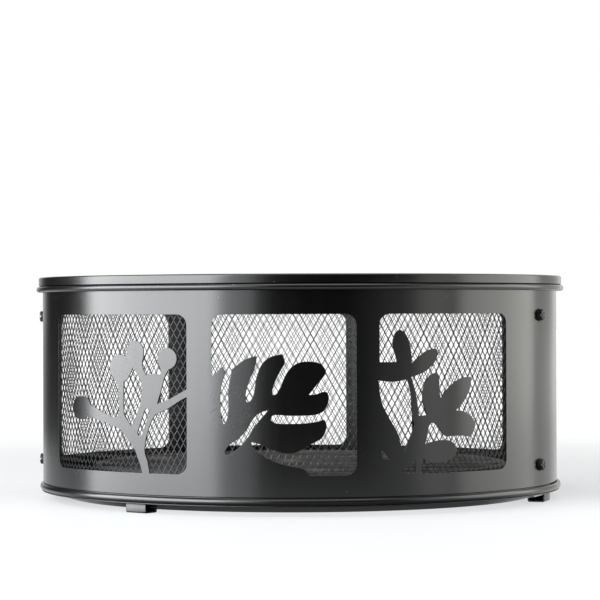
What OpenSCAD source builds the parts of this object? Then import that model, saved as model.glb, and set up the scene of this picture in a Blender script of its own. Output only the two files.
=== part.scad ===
// Round steel fire pit: a two-panel drum wall with leaf and berry cut-outs, an
// expanded steel screen behind every window, a dished base pan on four feet, and a
// loose fire grate that stands on the pan.
// Frame: origin on the ground at the drum's axis, +Z up, the front faces -Y.
// Angles round the drum are measured from the front (-Y) towards +X.

/* [Drum] */
// Diameter over the beads, the widest part of the drum
overall_d = 762; // [740:1:790]
// Height from the ground to the top of the rim
overall_h = 317.5; // [310:0.5:330]
// Thickness of the rolled wall sheets, the pan and the rim
sheet_t = 1.5; // [1:0.1:2]
// How far a bead stands out from the front wall sheet
bead_over = 9; // [7:0.5:11]
// Height of a bead
bead_h = 8.4; // [7:0.2:9]
// Height of the plain lip above the top bead
lip_h = 12.8; // [10:0.2:16]

/* [Windows] */
// Height of the windows' lower edge above the ground
window_z = 54; // [50:1:60]
// Height of every window
window_h = 210.5; // [206:0.5:214]
// Radius of the windows' corners
window_corner = 14; // [6:1:20]
// Width of the left front window
left_window_w = 258; // [254:1:262]
// Width of the middle front window
middle_window_w = 190; // [188:1:196]
// Width of the right front window
right_window_w = 207; // [205:1:212]
// Width of the plain rear window next to the right seam
rear_first_window_w = 202; // [160:1:210]
// Width of each of the other three plain rear windows
rear_window_w = 256; // [230:1:260]

/* [Seams] */
// Angle of the right seam's screws
right_seam_a = 62.9; // [61:0.1:64]
// Angle of the left seam's screws
left_seam_a = -91; // [-93:0.5:-90]
// How far the front sheet runs past the screws
front_lap = 6.5; // [5:0.5:8]
// How far the rear sheet runs back past the screws
rear_lap = 5.5; // [4:0.5:6]
// Height of the lower seam screws
low_screw_z = 55; // [50:1:60]
// Height of the upper seam screws
high_screw_z = 262; // [255:1:268]
// Thread diameter of the seam screws
screw_d = 8; // [6:1:8]

/* [Base] */
// Height of the pan's flat underside above the ground
pan_z = 3; // [2:0.5:4]
// Radius of the pan's flat floor
pan_floor_r = 333; // [320:1:340]
// Width of each foot along the rim
foot_w = 34; // [24:1:38]
// Depth of each foot towards the centre
foot_depth = 24; // [18:1:28]

/* [Grate] */
// Diameter over the grate's hoop
grate_d = 600; // [560:5:630]
// Diameter of the round bar that the hoop is rolled from
hoop_bar_d = 12; // [11:1:16]
// Diameter of the grate's other round bars
bar_d = 10; // [6:1:10]
// Height of the top of the grate above the ground
grate_top = 50; // [44:1:60]
// Number of parallel grate bars
bar_count = 7; // [7:1:9]

/* [Hidden] */
$fn = 96;

steel_black = [0.09, 0.09, 0.10];
screen_black = [0.14, 0.14, 0.14];
foot_grey = [0.45, 0.46, 0.48];
zinc_dark = [0.20, 0.20, 0.21];
grate_black = [0.16, 0.15, 0.15];

// radii of the two wall sheets: the rear sheet laps inside the front one
wall_r = overall_d / 2 - bead_over;
seam_gap = 0.1;
rear_r = wall_r - sheet_t - seam_gap;
rear_inner_r = rear_r - sheet_t;
// heights of the pan's flange, the beads and the rim
flange_z = 13.1;
wall_z = flange_z + sheet_t;
top_bead_z = overall_h - lip_h - bead_h - 0.1;
wall_top = overall_h - sheet_t - 0.1;
window_mid_z = window_z + window_h / 2;
cut_depth = 120;
cut_start = wall_r - 90;

// how far the left and middle figures stand to the right of their windows' middles
branch_shift = 2;
leaf_shift = 1;

// expanded screens
screen_t = 2.4;
screen_gap = 0.1;
screen_margin = 8;

// ends of the two sheets, as angles
front_from = left_seam_a - front_lap + 1;
front_to = right_seam_a + front_lap + 0.6;
rear_from = right_seam_a - rear_lap;
rear_to = left_seam_a + rear_lap + 360;

// middle angles of the windows
left_window_a = -44;
middle_window_a = -3.4;
right_window_a = 32.4;
rear_window_first = 101.75;
rear_window_second = 143.1;
rear_window_pitch = 45.7;
rear_window_angles = [rear_window_first, for (i = [0:2]) rear_window_second + i * rear_window_pitch];
rear_window_widths = [rear_first_window_w, rear_window_w, rear_window_w, rear_window_w];

// screws, washers and nuts
washer_d = 18;
washer_t = 1.6;
washer_seat = wall_r - 0.005;
head_d = 15.5;
head_h = 7;
head_edge = 1.6;
recess_depth = 3.2;
recess_w = 1.8;
recess_l = 8.4;
nut_h = 6.5;
nut_d = 13 / cos(30);
nut_seat = rear_inner_r - 0.1;
shank_end = nut_seat - nut_h - 2.5;
screw_clear = 0.4;
seam_angles = [right_seam_a, left_seam_a];
screw_heights = [low_screw_z, high_screw_z];

// feet
foot_out = 366;
foot_t = 2;
foot_front_a = 54;
foot_turn = 17;
foot_angles = [foot_turn - foot_front_a, foot_turn + foot_front_a,
               180 + foot_turn - foot_front_a, 180 + foot_turn + foot_front_a];

// grate
hoop_bar_r = hoop_bar_d / 2;
hoop_r = grate_d / 2 - hoop_bar_r;
grate_z = grate_top - hoop_bar_r;
bar_pitch = 2 * hoop_r / (bar_count + 1);
cross_x = 150;
weld = 0.4;
leg_gap = 0.3;
leg_angles = [45, 135, 225, 315];

// ---- curves ----
// A point between b and c on the smooth curve through a, b, c and d, at share t
function between(a, b, c, d, t) =
    0.5 * (2 * b + (c - a) * t + (2 * a - 5 * b + 4 * c - d) * t * t
           + (3 * b - a - 3 * c + d) * t * t * t);

curve_steps = 3;

// Smooth run through the points, without its last point; two points stay a straight edge
function run(p) =
    len(p) < 3 ? [p[0]] :
    [for (i = [0:len(p) - 2]) for (k = [0:curve_steps - 1])
        between(p[max(i - 1, 0)], p[i], p[i + 1], p[min(i + 2, len(p) - 1)], k / curve_steps)];

// Closed outline of smooth runs: each run starts in a corner and ends where the next one starts
function outline(runs) =
    [for (i = [0:len(runs) - 1]) each run(concat(runs[i], [runs[(i + 1) % len(runs)][0]]))];

// Bar with round ends, as a flat shape
module round_bar(from, to, r) {
    along = to - from;
    translate(from) circle(r, $fn = 32);
    translate(to) circle(r, $fn = 32);
    translate(from) rotate(atan2(along.y, along.x)) translate([0, -r]) square([norm(along), 2 * r]);
}

module rounded_window(w, h, r) {
    square([w - 2 * r, h], center = true);
    square([w, h - 2 * r], center = true);
    for (x = [-1, 1], y = [-1, 1]) translate([x * (w / 2 - r), y * (h / 2 - r)]) circle(r, $fn = 48);
}

// ---- cut-out figures, in millimetres from the middle of their window ----
// Branch with four berries, growing from the window's lower edge
module berry_branch() {
    difference() {
        union() {
            polygon(outline([
                [[73, -114], [69, -92], [64, -78], [65, -64], [69, -50], [75, -36]],
                [[81, -27], [100, -19], [118, -8], [136, 2]],
                [[136, 12], [118, 2], [101, -7]],
                [[84, -13], [91, 8], [96, 24]],
                [[104, 36], [94, 44]],
                [[88, 38], [90, 31]],
                [[89, 25], [78, 27]],
                [[67, 24], [62, 33], [60, 42], [62, 52]],
                [[48, 62], [36, 56]],
                [[31, 50], [18, 50]],
                [[3, 28], [9, 20], [16, 12], [19, 2], [19, -15]],
                [[19, -29], [8, -32], [-10, -27], [-30, -20], [-40, -17], [-45, -10], [-51, -7], [-64, -6],
                 [-77, -8], [-84, -16], [-85, -25], [-79, -33], [-68, -37], [-57, -36], [-48, -33],
                 [-38, -34], [-18, -38], [2, -42], [20, -48], [34, -60]],
                [[47, -73], [52, -84], [57, -96]],
                [[62, -114], [68, -114]]
            ]));
            translate([48, 56]) circle(14.5, $fn = 64);
            translate([18.5, 34.5]) circle(17, $fn = 64);
            translate([99, 47]) circle(14.2, $fn = 64);
        }
        polygon(outline([
            [[44, 35], [40, 27], [34, 19]],
            [[28, 16], [27.5, -2], [28, -26], [33, -34]],
            [[41, -43], [46, -38], [51, -26], [57, -12], [60, 2], [58, 16], [51, 27]]
        ]));
        round_bar([56, -52], [68, -23], 4);
    }
}

// Large lobed leaf, growing from the window's left and lower edges
module lobed_leaf() {
    difference() {
        polygon(outline([
            [[-106, 16], [-100, 20]],
            [[-94, 25.5], [-88, 31]],
            [[-82.5, 36], [-78.5, 32], [-79, 24], [-82, 14], [-84, 2], [-84, -16], [-83, -29], [-79.5, -38],
             [-75, -29], [-73.5, -12], [-74, 4], [-72, 18], [-70, 26]],
            [[-69.5, 33], [-62, 39], [-50, 47]],
            [[-36, 51], [-37, 40], [-43, 25], [-48, 12], [-50.5, 0], [-50, -8], [-46.5, -9], [-42, -4],
             [-39, 6], [-37, 20], [-32, 35], [-25, 45], [-14, 51]],
            [[-2, 53], [1, 42], [-5, 31], [-11, 19], [-15, 8], [-15.5, 1], [-11, 1], [-6, 8], [-1, 20],
             [5, 31], [13, 39], [24, 43], [38, 43], [48, 40], [54, 32], [53, 26], [44, 15]],
            [[32, 0], [42, 1], [51, 4]],
            [[56, 3], [58, -4], [56, -14], [50, -22], [40, -26], [24, -27], [6, -27], [-10, -26], [-17, -28],
             [-17, -33], [-10, -37], [8, -37.5], [26, -37], [42, -35]],
            [[52, -32], [55, -40], [53, -49], [48, -57], [39, -62], [28, -68], [14, -75], [2, -76], [-14, -72],
             [-30, -65]],
            [[-44, -61], [-40, -69], [-30, -78], [-17, -85], [0, -91], [16, -94], [27, -98]],
            [[36, -114], [-30, -114]],
            [[-106, -114], [-106, -40]]
        ]));
        polygon(outline([
            [[-20.5, -19.5], [-33, -24], [-42, -33], [-50, -46], [-60, -57], [-72, -65]],
            [[-79, -74], [-76, -79], [-66, -74], [-55, -64], [-45, -51], [-36, -37]]
        ]));
    }
}

// Upright stem with paddle-shaped leaves, growing from the window's left and lower edges
module paddle_stem() {
    difference() {
        polygon(outline([
            [[-114, 42], [-96, 42]],
            [[-80, 42], [-83, 54], [-86, 67], [-83, 79], [-76, 84], [-69, 80], [-63, 69], [-60, 54]],
            [[-59, 40], [-50, 48], [-38, 56], [-26, 59]],
            [[-20, 56], [-22, 46], [-29, 37], [-42, 28]],
            [[-60, 22], [-55, 6], [-51, -14]],
            [[-49, -29], [-44, -29]],
            [[-37, -28], [-43, -14], [-44, -2], [-42, 10], [-36, 20], [-28, 26], [-21, 26],
             [-18, 16], [-18, 4]],
            [[-16, -7], [-7, 4], [6, 14], [20, 20]],
            [[35, 21], [34, 8], [27, -5], [19, -15]],
            [[9, -23], [22, -25], [34, -31]],
            [[42, -40], [40, -50]],
            [[34, -59], [18, -57], [2, -57], [-8, -57], [-15, -51], [-22, -43]],
            [[-28, -38], [-34, -43], [-37, -56]],
            [[-40, -67], [-26, -63], [-8, -62], [4, -66], [10, -75], [5, -84], [-6, -90], [-24, -92],
             [-36, -90]],
            [[-43, -86], [-46, -98]],
            [[-46, -116], [-80, -116]],
            [[-114, -116], [-114, 0]]
        ]));
        polygon(outline([
            [[-105, 18], [-86, 16]],
            [[-66, 19], [-61, 2], [-60, -18], [-58, -32]],
            [[-56, -41], [-60, -52], [-66, -64]],
            [[-70, -76], [-75, -66], [-80, -50], [-89, -35], [-97, -22], [-102, -6], [-104, 8]]
        ]));
        polygon([[-101, -73], [-88, -85], [-101, -85]]);
        polygon(outline([
            [[-75, -102], [-68, -97], [-60, -96]],
            [[-57, -86], [-54, -93]],
            [[-54, -104], [-66, -104]]
        ]));
    }
}

// ---- building blocks ----
// Part of a rolled sheet between two angles and two heights
module rolled_sheet(outer_r, t, z0, z1, from, to) {
    rotate([0, 0, from - 90]) rotate_extrude(angle = to - from)
        translate([outer_r - t, z0]) square([t, z1 - z0]);
}

// Carries a flat shape to the wall at an angle and cuts straight through it
module punch(angle, z) {
    rotate([0, 0, angle]) translate([0, -cut_start, z]) rotate([90, 0, 0])
        linear_extrude(cut_depth) children();
}

module window_cut(angle, w) {
    punch(angle, window_mid_z) difference() {
        rounded_window(w, window_h, window_corner);
        children();
    }
}

// Places its children at every seam screw, with local Z pointing out of the drum
module at_seam_screws() {
    for (a = seam_angles, z = screw_heights) rotate([0, 0, a]) translate([0, 0, z]) rotate([90, 0, 0])
        children();
}

module seam_holes() {
    at_seam_screws() translate([0, 0, cut_start]) cylinder(h = cut_depth, d = screw_d + screw_clear);
}

// ---- drum ----
module front_wall_panel() {
    color(steel_black) difference() {
        rolled_sheet(wall_r, sheet_t, wall_z, wall_top, front_from, front_to);
        window_cut(left_window_a, left_window_w) translate([branch_shift, 0]) berry_branch();
        window_cut(middle_window_a, middle_window_w) translate([leaf_shift, 0]) lobed_leaf();
        window_cut(right_window_a, right_window_w) paddle_stem();
        seam_holes();
    }
}

module rear_wall_panel() {
    color(steel_black) difference() {
        rolled_sheet(rear_r, sheet_t, wall_z, wall_top, rear_from, rear_to);
        for (i = [0:3]) window_cut(rear_window_angles[i], rear_window_widths[i]);
        seam_holes();
    }
}

// Channel that caps the upper edge of both sheets
module top_rim() {
    outer = wall_r + 5.7;
    inner = rear_inner_r - 0.1 - sheet_t;
    corner = sheet_t;
    color(steel_black) rotate_extrude() {
        translate([outer - sheet_t, overall_h - lip_h]) square([sheet_t, lip_h - corner]);
        translate([inner, overall_h - lip_h]) square([sheet_t, lip_h - corner]);
        translate([inner + corner, overall_h - sheet_t]) square([outer - inner - 2 * corner, sheet_t]);
        for (r = [inner + corner, outer - corner]) translate([r, overall_h - corner]) intersection() {
            circle(corner, $fn = 32);
            translate([r < wall_r ? -corner : 0, 0]) square(corner);
        }
    }
}

// Rolled bead round the outside of the wall
module bead(z) {
    r = bead_h / 2;
    color(steel_black) rotate_extrude() {
        translate([wall_r + bead_over - r, z + r]) circle(r, $fn = 48);
        translate([wall_r + 0.05, z + 0.6]) square([bead_over - r - 0.05, bead_h - 1.2]);
    }
}

module top_bead() { bead(top_bead_z); }

module bottom_bead() {
    r = bead_h / 2;
    color(steel_black) rotate_extrude() {
        translate([wall_r, wall_z + r]) intersection() {
            circle(r, $fn = 48);
            translate([0.05, -r]) square([r, 2 * r]);
        }
    }
}

pan_profile = [[0, pan_z], [pan_floor_r, pan_z], [wall_r - 5, flange_z], [wall_r + 2, flange_z],
               [wall_r + 2, wall_z], [wall_r - 5.4, wall_z], [pan_floor_r - 0.4, pan_z + sheet_t],
               [0, pan_z + sheet_t]];

module base_pan() {
    color(steel_black) rotate_extrude() polygon(pan_profile);
}

// Expanded steel screen behind one window, as a plain curved plate of its own thickness
module screen(angle, w, behind_r) {
    half = asin(w / 2 / wall_r) + screen_margin / behind_r * 180 / PI;
    color(screen_black)
        rolled_sheet(behind_r - screen_gap, screen_t, window_z - screen_margin,
                     window_z + window_h + screen_margin, angle - half, angle + half);
}

module screen_front_left() { screen(left_window_a, left_window_w, wall_r - sheet_t); }
module screen_front_middle() { screen(middle_window_a, middle_window_w, wall_r - sheet_t); }
module screen_front_right() { screen(right_window_a, right_window_w, wall_r - sheet_t); }
module screen_rear(i) { screen(rear_window_angles[i], rear_window_widths[i], rear_inner_r); }

// Folded sheet foot, open towards its two sides, cut to the slope of the pan
module foot(angle) {
    color(foot_grey) rotate([0, 0, angle]) difference() {
        translate([-foot_w / 2, -foot_out, 0]) cube([foot_w, foot_depth, flange_z + 4]);
        translate([-foot_w / 2 - 1, -foot_out + foot_t, foot_t])
            cube([foot_w + 2, foot_depth - 2 * foot_t, flange_z + 4]);
        rotate_extrude() polygon([[0, pan_z], [pan_floor_r, pan_z], [wall_r - 5, flange_z],
                                  [wall_r + 2, flange_z], [wall_r + 2, 40], [0, 40]]);
    }
}

// Seam screw: pan head with a rounded edge and a cross recess, and a plain shank
module seam_screws() {
    seat = washer_seat + washer_t;
    color(zinc_dark) at_seam_screws() {
        difference() {
            union() {
                translate([0, 0, shank_end]) cylinder(h = seat - shank_end + 1, d = screw_d);
                translate([0, 0, seat]) rotate_extrude() {
                    square([head_d / 2, head_h - head_edge]);
                    square([head_d / 2 - head_edge, head_h]);
                    translate([head_d / 2 - head_edge, head_h - head_edge]) intersection() {
                        circle(head_edge, $fn = 32);
                        square(head_edge);
                    }
                }
            }
            for (a = [0, 90]) rotate(a) translate([-recess_l / 2, -recess_w / 2, seat + head_h - recess_depth])
                cube([recess_l, recess_w, recess_depth + 1]);
        }
    }
}

module seam_washers() {
    color(zinc_dark) at_seam_screws() translate([0, 0, washer_seat]) difference() {
        cylinder(h = washer_t, d = washer_d);
        translate([0, 0, -1]) cylinder(h = washer_t + 2, d = screw_d + screw_clear);
    }
}

module seam_nuts() {
    color(zinc_dark) at_seam_screws() translate([0, 0, nut_seat - nut_h]) difference() {
        cylinder(h = nut_h, d = nut_d, $fn = 6);
        translate([0, 0, -1]) cylinder(h = nut_h + 2, d = screw_d + 0.02);
    }
}

// ---- grate ----
module hoop_solid() {
    translate([0, 0, grate_z]) rotate_extrude() translate([hoop_r, 0]) circle(hoop_bar_r, $fn = 48);
}

module bar_rods() {
    for (i = [1:bar_count]) let (y = -hoop_r + i * bar_pitch, half = sqrt(hoop_r * hoop_r - y * y))
        translate([-half, y, grate_z]) rotate([0, 90, 0]) cylinder(h = 2 * half, d = bar_d);
}

module grate_hoop() { color(grate_black) hoop_solid(); }

module grate_bars() {
    color(grate_black) difference() {
        bar_rods();
        hoop_solid();
    }
}

// Two bars under the others, let into them by the depth of the weld
module grate_cross_bars() {
    half = sqrt(hoop_r * hoop_r - cross_x * cross_x);
    color(grate_black) difference() {
        for (x = [-cross_x, cross_x]) translate([x, half, grate_z - bar_d + weld]) rotate([90, 0, 0])
            cylinder(h = 2 * half, d = bar_d);
        bar_rods();
        hoop_solid();
    }
}

module grate_legs() {
    foot_level = pan_z + sheet_t + leg_gap;
    color(grate_black) difference() {
        for (a = leg_angles) rotate([0, 0, a]) translate([hoop_r, 0, foot_level])
            cylinder(h = grate_z - foot_level, d = bar_d);
        hoop_solid();
    }
}

front_wall_panel();
rear_wall_panel();
top_rim();
top_bead();
bottom_bead();
base_pan();
screen_front_left();
screen_front_middle();
screen_front_right();
screen_rear(0);  // screen_rear_1
screen_rear(1);  // screen_rear_2
screen_rear(2);  // screen_rear_3
screen_rear(3);  // screen_rear_4
foot(foot_angles[0]);  // foot_front_left
foot(foot_angles[1]);  // foot_front_right
foot(foot_angles[2]);  // foot_rear_right
foot(foot_angles[3]);  // foot_rear_left
seam_screws();
seam_washers();
seam_nuts();
grate_hoop();
grate_bars();
grate_cross_bars();
grate_legs();
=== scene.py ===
"""Round steel fire pit with cut-out windows, expanded steel screens and a lift-out grate.

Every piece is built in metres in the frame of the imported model: the drum's axis is Z, the ground is at
zero and the front faces -Y. Angles round the drum are measured from the front towards +X.
"""
import logging
import math
import random
from collections.abc import Callable, Sequence
from dataclasses import dataclass, field
from enum import Enum

import bpy
import numpy as np
from mathutils import Matrix, Vector


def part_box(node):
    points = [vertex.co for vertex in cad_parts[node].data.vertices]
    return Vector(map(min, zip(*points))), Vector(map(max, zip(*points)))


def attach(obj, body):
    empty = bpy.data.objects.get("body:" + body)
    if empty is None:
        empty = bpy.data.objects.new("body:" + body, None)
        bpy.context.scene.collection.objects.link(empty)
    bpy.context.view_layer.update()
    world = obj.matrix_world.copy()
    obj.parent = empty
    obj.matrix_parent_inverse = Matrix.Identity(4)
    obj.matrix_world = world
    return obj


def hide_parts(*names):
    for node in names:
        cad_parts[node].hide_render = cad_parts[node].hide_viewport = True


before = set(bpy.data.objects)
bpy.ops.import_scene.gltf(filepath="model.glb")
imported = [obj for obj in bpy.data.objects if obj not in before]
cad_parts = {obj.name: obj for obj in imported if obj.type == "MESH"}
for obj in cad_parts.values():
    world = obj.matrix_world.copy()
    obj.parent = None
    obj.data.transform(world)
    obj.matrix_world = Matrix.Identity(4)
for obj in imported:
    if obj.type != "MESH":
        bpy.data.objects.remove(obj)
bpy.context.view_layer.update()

log = logging.getLogger("fire_pit")

MM = 0.001
Point = tuple[float, float]
Spot = tuple[float, float, float]
Colour = tuple[float, float, float]
Runs = Sequence[Sequence[Point]]
DRUM = "drum"
GRATE = "grate"


# --------------------------------------------------------------------------- hand tools
class Bench:
    """Tools that work on one object at a time, as they would be used by hand."""

    @staticmethod
    def clear() -> None:
        """Leaves edit mode and deselects everything."""
        if bpy.context.object and bpy.context.object.mode != "OBJECT":
            bpy.ops.object.mode_set(mode="OBJECT")
        bpy.ops.object.select_all(action="DESELECT")

    @staticmethod
    def take(piece: bpy.types.Object) -> None:
        """Selects one piece alone and makes it active."""
        Bench.clear()
        piece.select_set(True)
        bpy.context.view_layer.objects.active = piece

    @staticmethod
    def edit(piece: bpy.types.Object, elements: str = "VERT") -> None:
        """Opens a piece in edit mode with nothing selected.

        Args:
            piece: the piece to edit.
            elements: the kind of element to select, VERT, EDGE or FACE.
        """
        Bench.take(piece)
        bpy.ops.object.mode_set(mode="EDIT")
        bpy.ops.mesh.select_mode(type=elements)
        bpy.ops.mesh.select_all(action="DESELECT")

    @staticmethod
    def select(piece: bpy.types.Object, elements: str, wanted: Callable[[object], bool]) -> None:
        """Selects the elements that a test accepts, and returns to edit mode.

        Args:
            piece: the piece, in edit mode.
            elements: VERT, EDGE or FACE.
            wanted: the test, given a vertex, an edge or a polygon.
        """
        bpy.ops.mesh.select_mode(type=elements)
        bpy.ops.mesh.select_all(action="DESELECT")
        bpy.ops.object.mode_set(mode="OBJECT")
        mesh = piece.data
        for item in {"VERT": mesh.vertices, "EDGE": mesh.edges, "FACE": mesh.polygons}[elements]:
            if wanted(item):
                item.select = True
        bpy.ops.object.mode_set(mode="EDIT")

    @staticmethod
    def named(name: str) -> bpy.types.Object:
        """Names the active object and its mesh.

        Args:
            name: the name of both.

        Returns:
            The active object.
        """
        piece = bpy.context.object
        piece.name = piece.data.name = name
        return piece

    @staticmethod
    def settle(piece: bpy.types.Object) -> None:
        """Puts the object's own place, turn and scale into its mesh."""
        Bench.take(piece)
        bpy.ops.object.transform_apply(location=True, rotation=True, scale=True)

    @staticmethod
    def modify(piece: bpy.types.Object, kind: str, **settings: object) -> None:
        """Adds a modifier and applies it.

        Args:
            piece: the piece that changes.
            kind: the modifier's type.
            settings: the modifier's properties.
        """
        Bench.take(piece)
        modifier = piece.modifiers.new(kind.lower(), kind)
        for key, value in settings.items():
            setattr(modifier, key, value)
        bpy.ops.object.modifier_apply(modifier=modifier.name)

    @staticmethod
    def cut(piece: bpy.types.Object, tool: bpy.types.Object, operation: str = "DIFFERENCE") -> None:
        """Cuts or joins a piece with a tool, which is used up.

        Args:
            piece: the piece that changes.
            tool: the shape that is taken away, added or kept in common.
            operation: DIFFERENCE, UNION or INTERSECT.
        """
        Bench.modify(piece, "BOOLEAN", operation=operation, object=tool, solver="EXACT")
        bpy.data.objects.remove(tool)

    @staticmethod
    def clean(piece: bpy.types.Object, merge: float = 0.02 * MM) -> None:
        """Merges doubled points and turns every face outwards.

        Args:
            piece: the piece that changes.
            merge: the distance within which points are one, in metres.
        """
        Bench.edit(piece)
        bpy.ops.mesh.select_all(action="SELECT")
        bpy.ops.mesh.remove_doubles(threshold=merge)
        bpy.ops.mesh.normals_make_consistent(inside=False)
        bpy.ops.object.mode_set(mode="OBJECT")

    @staticmethod
    def pull(piece: bpy.types.Object, way: Spot) -> None:
        """Extrudes a flat piece into a solid.

        Args:
            piece: the piece that changes.
            way: how far it is pulled, as a vector in metres.
        """
        Bench.edit(piece, "FACE")
        bpy.ops.mesh.select_all(action="SELECT")
        bpy.ops.mesh.extrude_region_move(TRANSFORM_OT_translate={"value": way})
        Bench.clean(piece)

    @staticmethod
    def smooth(piece: bpy.types.Object, angle: float = 30.0) -> None:
        """Shades a piece smooth, with edges sharper than the angle left crisp."""
        Bench.take(piece)
        bpy.ops.object.shade_smooth_by_angle(angle=math.radians(angle))

    @staticmethod
    def bevel(piece: bpy.types.Object, width: float, segments: int = 2, angle: float = 40.0,
              material: int = -1) -> None:
        """Rounds the edges sharper than an angle; the rounding may take its own material slot."""
        Bench.modify(piece, "BEVEL", width=width, segments=segments, limit_method="ANGLE",
                     angle_limit=math.radians(angle), use_clamp_overlap=False, material=material)

    @staticmethod
    def join(pieces: Sequence[bpy.types.Object], name: str) -> bpy.types.Object:
        """Joins pieces into one object.

        Args:
            pieces: the pieces, which the new one replaces.
            name: the name of the new piece.

        Returns:
            The new piece.
        """
        Bench.clear()
        for piece in pieces:
            piece.select_set(True)
        bpy.context.view_layer.objects.active = pieces[0]
        if len(pieces) > 1:
            bpy.ops.object.join()
        return Bench.named(name)

    @staticmethod
    def copy(piece: bpy.types.Object, placing: Matrix) -> bpy.types.Object:
        """Copies a piece with its own mesh.

        Args:
            piece: the piece to copy.
            placing: the move that is put into the copy's mesh.

        Returns:
            The copy.
        """
        twin = piece.copy()
        twin.data = piece.data.copy()
        twin.data.transform(placing)
        bpy.context.scene.collection.objects.link(twin)
        return twin


def between(a: Point, b: Point, c: Point, d: Point, t: float) -> Point:
    """Point between b and c on the smooth curve through a, b, c and d, at share t."""
    return tuple(
        0.5 * (2 * q + (r - p) * t + (2 * p - 5 * q + 4 * r - s) * t * t + (3 * q - p - 3 * r + s) * t ** 3)
        for p, q, r, s in zip(a, b, c, d))


def outline(runs: Runs, steps: int = 6) -> list[Point]:
    """Closed outline made of smooth runs.

    Args:
        runs: each run starts in a corner and ends where the next run starts.
        steps: how many points stand for each stretch of a curved run.

    Returns:
        The points of the outline, in order.
    """
    points: list[Point] = []
    for index, run in enumerate(runs):
        chain = [*run, runs[(index + 1) % len(runs)][0]]
        last = len(chain) - 1
        if last == 1:
            points.append(chain[0])
            continue
        for i in range(last):
            around = chain[max(i - 1, 0)], chain[i], chain[i + 1], chain[min(i + 2, last)]
            points += [between(*around, k / steps) for k in range(steps)]
    return points


def arc(centre: Point, radius: float, start: float, end: float, steps: int = 6) -> list[Point]:
    """Points of an arc, with angles in degrees and both ends included."""
    turn = (end - start) / steps
    return [(centre[0] + radius * math.cos(math.radians(start + turn * k)),
             centre[1] + radius * math.sin(math.radians(start + turn * k))) for k in range(steps + 1)]


def drawn(points: Sequence[Vector], name: str, closed: bool = True) -> bpy.types.Object:
    """Draws a line through the points by extruding one vertex, and fills it if it is closed.

    Args:
        points: the corners, in metres.
        name: the name of the new piece.
        closed: whether the line comes back to its start and gets a face.

    Returns:
        The new piece, in object mode.
    """
    Bench.clear()
    bpy.ops.mesh.primitive_plane_add(size=1.0 * MM)
    piece = Bench.named(name)
    bpy.ops.object.mode_set(mode="EDIT")
    bpy.ops.mesh.select_mode(type="VERT")
    bpy.ops.mesh.select_all(action="SELECT")
    bpy.ops.mesh.merge(type="CENTER")
    bpy.ops.transform.translate(value=points[0])
    for here, there in zip(points, points[1:]):
        bpy.ops.mesh.extrude_region_move(TRANSFORM_OT_translate={"value": there - here})
    if closed:
        bpy.ops.mesh.select_all(action="SELECT")
        bpy.ops.mesh.edge_face_add()
    bpy.ops.object.mode_set(mode="OBJECT")
    return piece


def prism(points: Sequence[Point], name: str, near: float, far: float) -> bpy.types.Object:
    """Solid slab, upright in the XZ plane.

    Args:
        points: its outline, in millimetres.
        name: the name of the new piece.
        near: where its near side is along -Y, in metres.
        far: where its far side is.

    Returns:
        The new piece.
    """
    piece = drawn([Vector((x * MM, -near, y * MM)) for x, y in points], name)
    Bench.pull(piece, (0, near - far, 0))
    return piece


def turned(profile: Sequence[Point], name: str, steps: int, start: float = 0.0, sweep: float = 360.0,
           closed: bool = True) -> bpy.types.Object:
    """Turns a profile about the Z axis.

    Args:
        profile: radius and height of each corner, in metres.
        name: the name of the new piece.
        steps: number of steps round the turn.
        start: angle of the first cut from the front, in degrees.
        sweep: how far the turn goes, in degrees.
        closed: whether the profile is a closed section.

    Returns:
        The new piece.
    """
    a = math.radians(start)
    ring = sweep >= 360.0
    piece = drawn([Vector((r * math.sin(a), -r * math.cos(a), z)) for r, z in profile], name, closed)
    Bench.edit(piece)
    bpy.ops.mesh.select_all(action="SELECT")
    if closed and ring:
        bpy.ops.mesh.delete(type="ONLY_FACE")
        bpy.ops.mesh.select_all(action="SELECT")
    bpy.ops.mesh.spin(steps=steps, angle=-math.radians(sweep), center=(0, 0, 0), axis=(0, 0, 1))
    Bench.clean(piece, 0.001 * MM)
    return piece


def about_axis(angle: float) -> Matrix:
    """Turn about the drum's axis, by an angle in degrees."""
    return Matrix.Rotation(math.radians(angle), 4, "Z")


# --------------------------------------------------------------------------- shader tools
class Value:
    """A number in a shader: Python expressions on it add Math nodes."""

    def __init__(self, graph: "Graph", socket: bpy.types.NodeSocket) -> None:
        """Wraps a socket of a graph."""
        self.graph = graph
        self.socket = socket

    def _math(self, operation: str, *terms: object) -> "Value":
        """Adds one Math node and wraps its result."""
        return self.graph.value("ShaderNodeMath", {"operation": operation}, dict(enumerate(terms)))

    def __add__(self, other: object) -> "Value":
        """Sum."""
        return self._math("ADD", self, other)

    __radd__ = __add__

    def __mul__(self, other: object) -> "Value":
        """Product."""
        return self._math("MULTIPLY", self, other)

    def __sub__(self, other: object) -> "Value":
        """Difference."""
        return self._math("SUBTRACT", self, other)

    def __rsub__(self, other: object) -> "Value":
        """Difference the other way round."""
        return self._math("SUBTRACT", other, self)

    def __truediv__(self, other: object) -> "Value":
        """Quotient."""
        return self._math("DIVIDE", self, other)

    def __gt__(self, other: object) -> "Value":
        """One where this value is larger, else zero."""
        return self._math("GREATER_THAN", self, other)

    def rise(self, low: float, high: float) -> "Value":
        """Smooth rise from zero at low to one at high."""
        return self.graph.value("ShaderNodeMapRange", {"interpolation_type": "SMOOTHSTEP"},
                                {"Value": self, "From Min": low, "From Max": high})


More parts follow.
